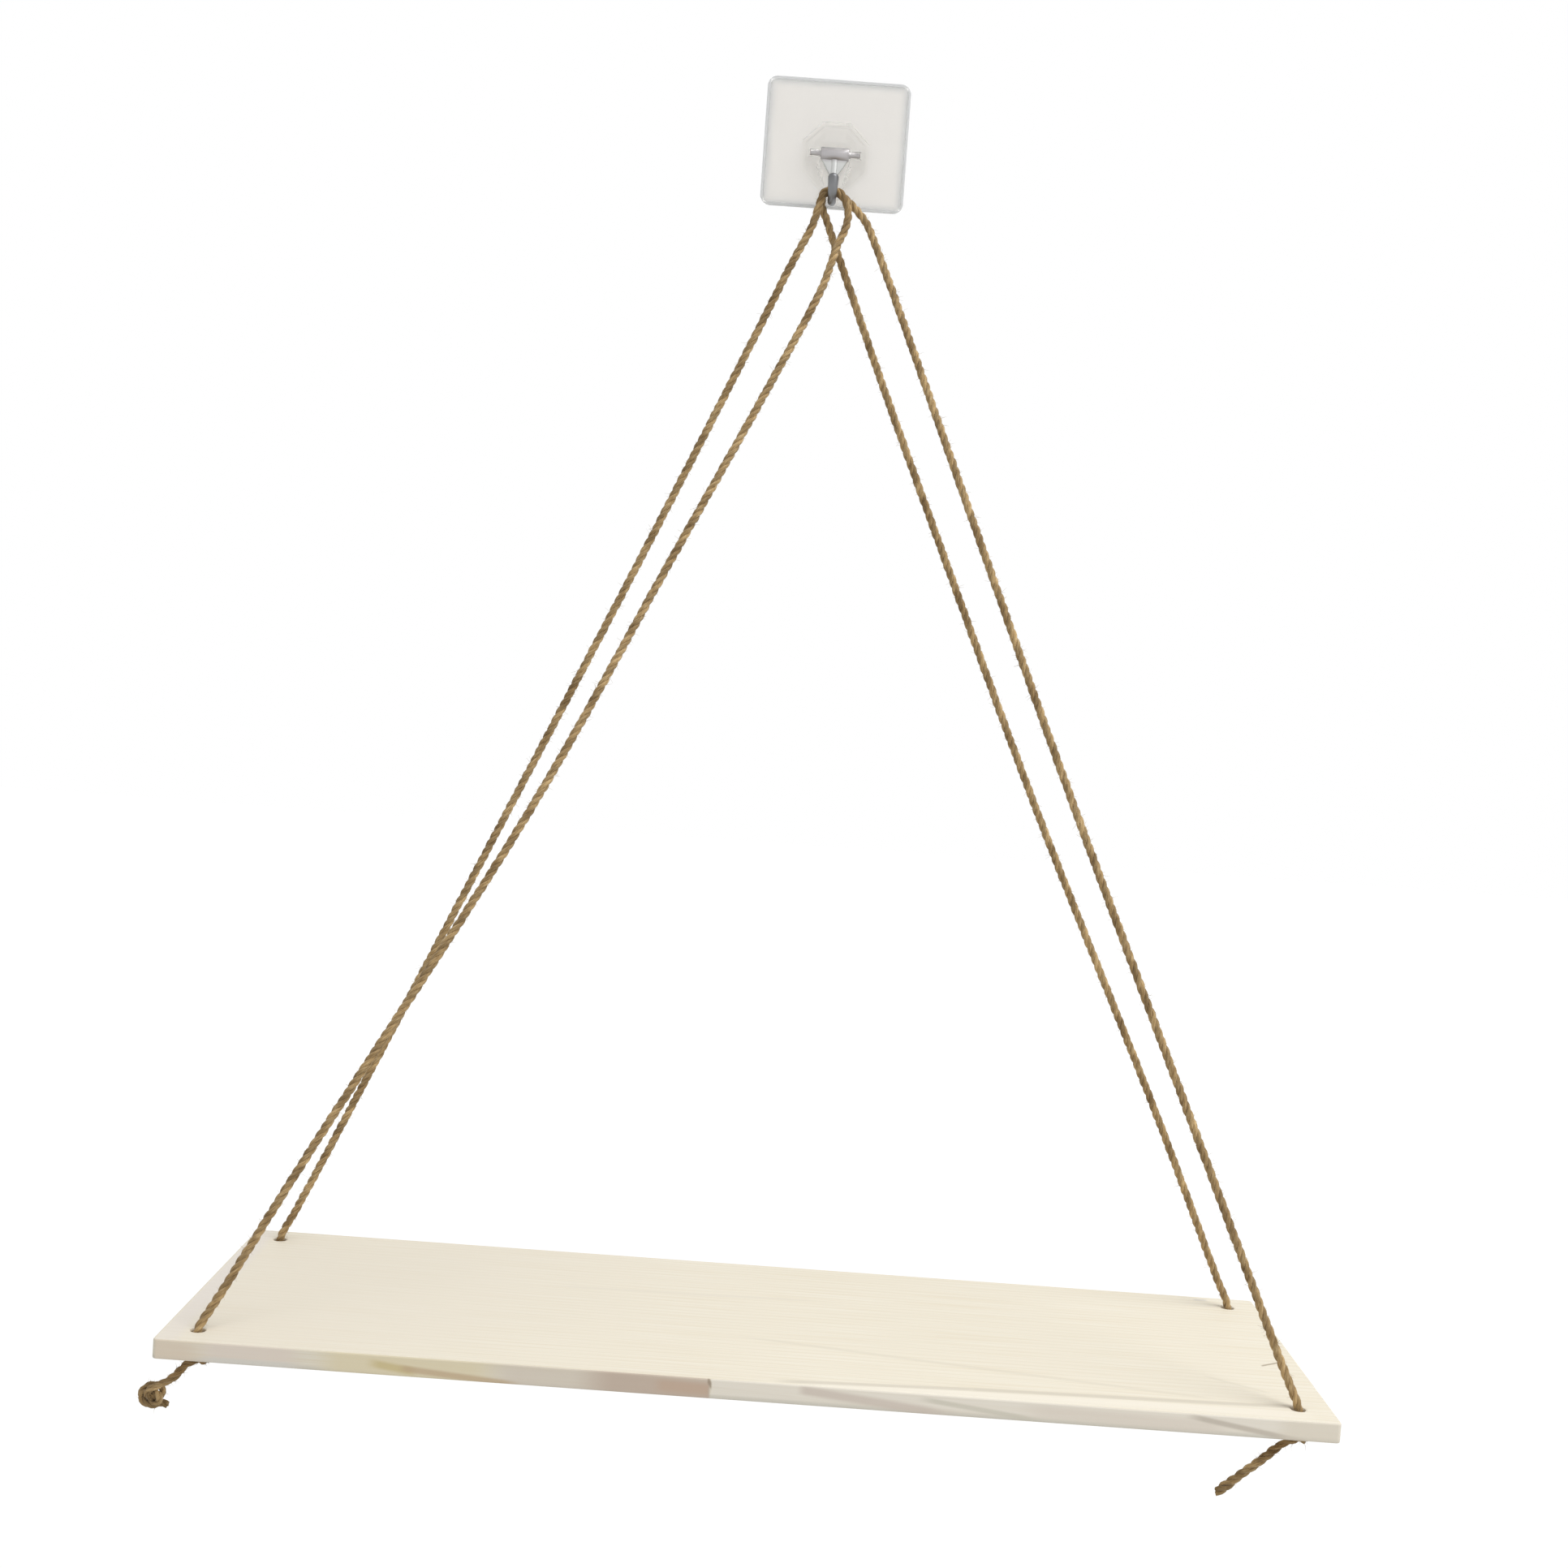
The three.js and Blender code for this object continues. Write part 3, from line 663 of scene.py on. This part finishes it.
def joined(name, meshes):
    """Several closed meshes made one closed solid."""
    pieces = [bpy.data.objects.new(mesh.name, mesh) for mesh in meshes]
    for piece in pieces:
        bpy.context.scene.collection.objects.link(piece)
    for piece in pieces[1:]:
        union = pieces[0].modifiers.new(piece.name, "BOOLEAN")
        union.operation, union.solver, union.object = "UNION", "EXACT", piece
    bpy.context.view_layer.update()
    depsgraph = bpy.context.evaluated_depsgraph_get()
    mesh = bpy.data.meshes.new_from_object(pieces[0].evaluated_get(depsgraph))
    for piece in pieces:
        bpy.data.objects.remove(piece)
    mesh.name = name
    mesh.shade_smooth()
    mesh.set_sharp_from_angle(angle=math.radians(crease_angle))
    return mesh


# Drawn steel is bright but not polished, because the fine lines of drawing blur what it mirrors.
# It is painted paler beside the seat, as painted light where the clear plastic lights it, and
# painted darker down the wire, as painted shade. The colours are spread from the hinge down over
# twice the web's length.
steel, tree, shader = new_material("drawn_steel")
place = add(tree, "TexCoord").outputs["Object"]
height = add(tree, "SeparateXYZ", {"Vector": place}).outputs["Z"]
below_hinge = add(tree, "MapRange", {
    "Value": height, "From Min": hinge_z * MM, "From Max": (hinge_z - 2 * web_length) * MM,
})
# Painted light and shade: the steel's colour runs from pale near the hinge to dark down the wire.
steel_colour = add(tree, "ValToRGB", {"Fac": below_hinge}, [
    (0.14, "#B5B2B3"), (0.22, "#CDCECC"), (0.50, "#C6C7C6"), (0.62, "#6E6F71"), (0.95, "#828385"),
])
feed(tree, shader, {"Base Color": steel_colour, "Metallic": 1, "Roughness": 0.42})
rod = eased_outline(pin_half_length, 0, pin_radius, pin_easing)
pin = turned("pin", rod, steps=40)
pin.shade_smooth()
pin.set_sharp_from_angle(angle=math.radians(crease_angle))
dress("turned_pin", pin, steel, "wall_plate", "hinge_pin")

stem_z = hinge_z - barrel_radius + stem_overlap
route = [Vector((0, hinge_y, stem_z - i * stem_step)) for i in range(stem_points)]
bend_y = hinge_y - bend_radius
for i in range(bend_steps + 1):
    angle = math.pi * i / bend_steps
    route.append(Vector((
        0, bend_y + bend_radius * math.cos(angle), bend_z - bend_radius * math.sin(angle),
    )))
growth_start = len(route) - 1 - growth_points
wire = [
    (p, 1 + tip_growth * max(0, i - growth_start) / growth_points) for i, p in enumerate(route)
]
tip_base = tip_z - wire_radius
for i in range(tip_steps + 1):
    angle = math.pi / 2 * i / tip_steps
    place = Vector((0, bend_y - bend_radius, tip_base + wire_radius * math.sin(angle)))
    wire.append((place, (1 + tip_growth) * max(math.cos(angle), smallest_share)))
ring = eased_outline(barrel_half_length, bore_radius, barrel_radius, hook_easing)
barrel = turned("barrel", ring, steps=56)
wire_mesh = tube_mesh("wire", [wire], wire_radius, sides=24)

shape = bmesh.new()
corners = [
    shape.verts.new(Vector((x, hinge_y - web_half_thickness, hinge_z + z)) * MM)
    for x, z in (
        (-barrel_half_length, -web_top), (-wire_radius, -web_length),
        (wire_radius, -web_length), (barrel_half_length, -web_top),
    )
]
face = shape.faces.new(corners)
grown = bmesh.ops.extrude_face_region(shape, geom=[face])["geom"]
moved = [v for v in grown if isinstance(v, bmesh.types.BMVert)]
bmesh.ops.translate(shape, verts=moved, vec=Vector((0, 2 * web_half_thickness, 0)) * MM)
bmesh.ops.recalc_face_normals(shape, faces=shape.faces)
bmesh.ops.bevel(
    shape, geom=shape.edges[:], offset=hook_easing * MM, offset_type="OFFSET", segments=3,
    profile=0.5, affect="EDGES", clamp_overlap=True, material=-1,
)
web = bpy.data.meshes.new("web")
shape.to_mesh(web)
shape.free()
bent = joined("hook_wire", [barrel, web, wire_mesh])
dress("bent_hook", bent, steel, "hook", "hook")


# Stage. A white backdrop, a pale floor below the shelf, and soft studio light from above and in
# front. The backdrop and the floor look white and light the shelf less than they look. The floor
# glows only by what its light falls short of white, so it keeps the shelf's shadow.
floor_height, floor_half_size, brightest_spot = -0.75, 6, (0.4, -0.3)
least_glow, most_glow, glow_reach = 0.27, 0.62, 2.4
aim = Vector((0, -0.07, -0.35))


def seen_directly(tree):
    """One on rays from the camera, from gloss and through clear plastic, and zero on others."""
    path = add(tree, "LightPath").outputs
    seen = path["Is Camera Ray"]
    for ray in ("Is Glossy Ray", "Is Transmission Ray"):
        seen = add(tree, "Math", {0: seen, 1: path[ray]}, operation="MAXIMUM")
    return seen


floor_mesh = bpy.data.meshes.new("floor")
shape = bmesh.new()
bmesh.ops.create_grid(shape, x_segments=1, y_segments=1, size=floor_half_size)
bmesh.ops.translate(shape, vec=(0, 0, floor_height), verts=shape.verts)
shape.to_mesh(floor_mesh)
shape.free()
floor = bpy.data.objects.new("floor", floor_mesh)
bpy.context.scene.collection.objects.link(floor)
floor_paint, tree, shader = new_material("floor_paint")
from_spot = add(tree, "VectorMath", {
    0: add(tree, "TexCoord").outputs["Object"], 1: (*brightest_spot, floor_height),
}, operation="DISTANCE").outputs["Value"]
missing_white = add(tree, "MapRange", {
    "Value": from_spot, "From Min": 0, "From Max": glow_reach,
    "To Min": least_glow, "To Max": most_glow,
})
glow = add(tree, "Math", {0: seen_directly(tree), 1: missing_white}, operation="MULTIPLY")
feed(tree, shader, {
    "Base Color": linear("#E0E0DF"), "Roughness": 0.9, "Specular IOR Level": 0,
    "Emission Color": (1, 1, 1, 1), "Emission Strength": glow,
})
floor_mesh.materials.append(floor_paint)

world = bpy.data.worlds.new("studio")
bpy.context.scene.world = world
world.use_nodes = True
tree = world.node_tree
tree.nodes.clear()
ambient = add(tree, "Background", {"Color": (1, 1, 1, 1), "Strength": 0.55})
backdrop = add(tree, "Background", {"Color": (1, 1, 1, 1), "Strength": 1.0})
chosen = add(tree, "MixShader", {0: seen_directly(tree), 1: ambient, 2: backdrop})
add(tree, "OutputWorld", {"Surface": chosen})

for name, place, size, power in (
    ("key_lamp", (0.75, -0.45, 1.5), 1.2, 22),
    ("fill_lamp", (1.2, -1.2, 0.4), 1.2, 4),
):
    lamp_data = bpy.data.lights.new(name, "AREA")
    lamp_data.shape = "SQUARE"
    lamp_data.size = size
    lamp_data.energy = power
    lamp = bpy.data.objects.new(name, lamp_data)
    bpy.context.scene.collection.objects.link(lamp)
    lamp.location = place
    lamp.rotation_euler = (aim - Vector(place)).to_track_quat("-Z", "Y").to_euler()

bpy.context.scene.view_settings.view_transform = "Standard"
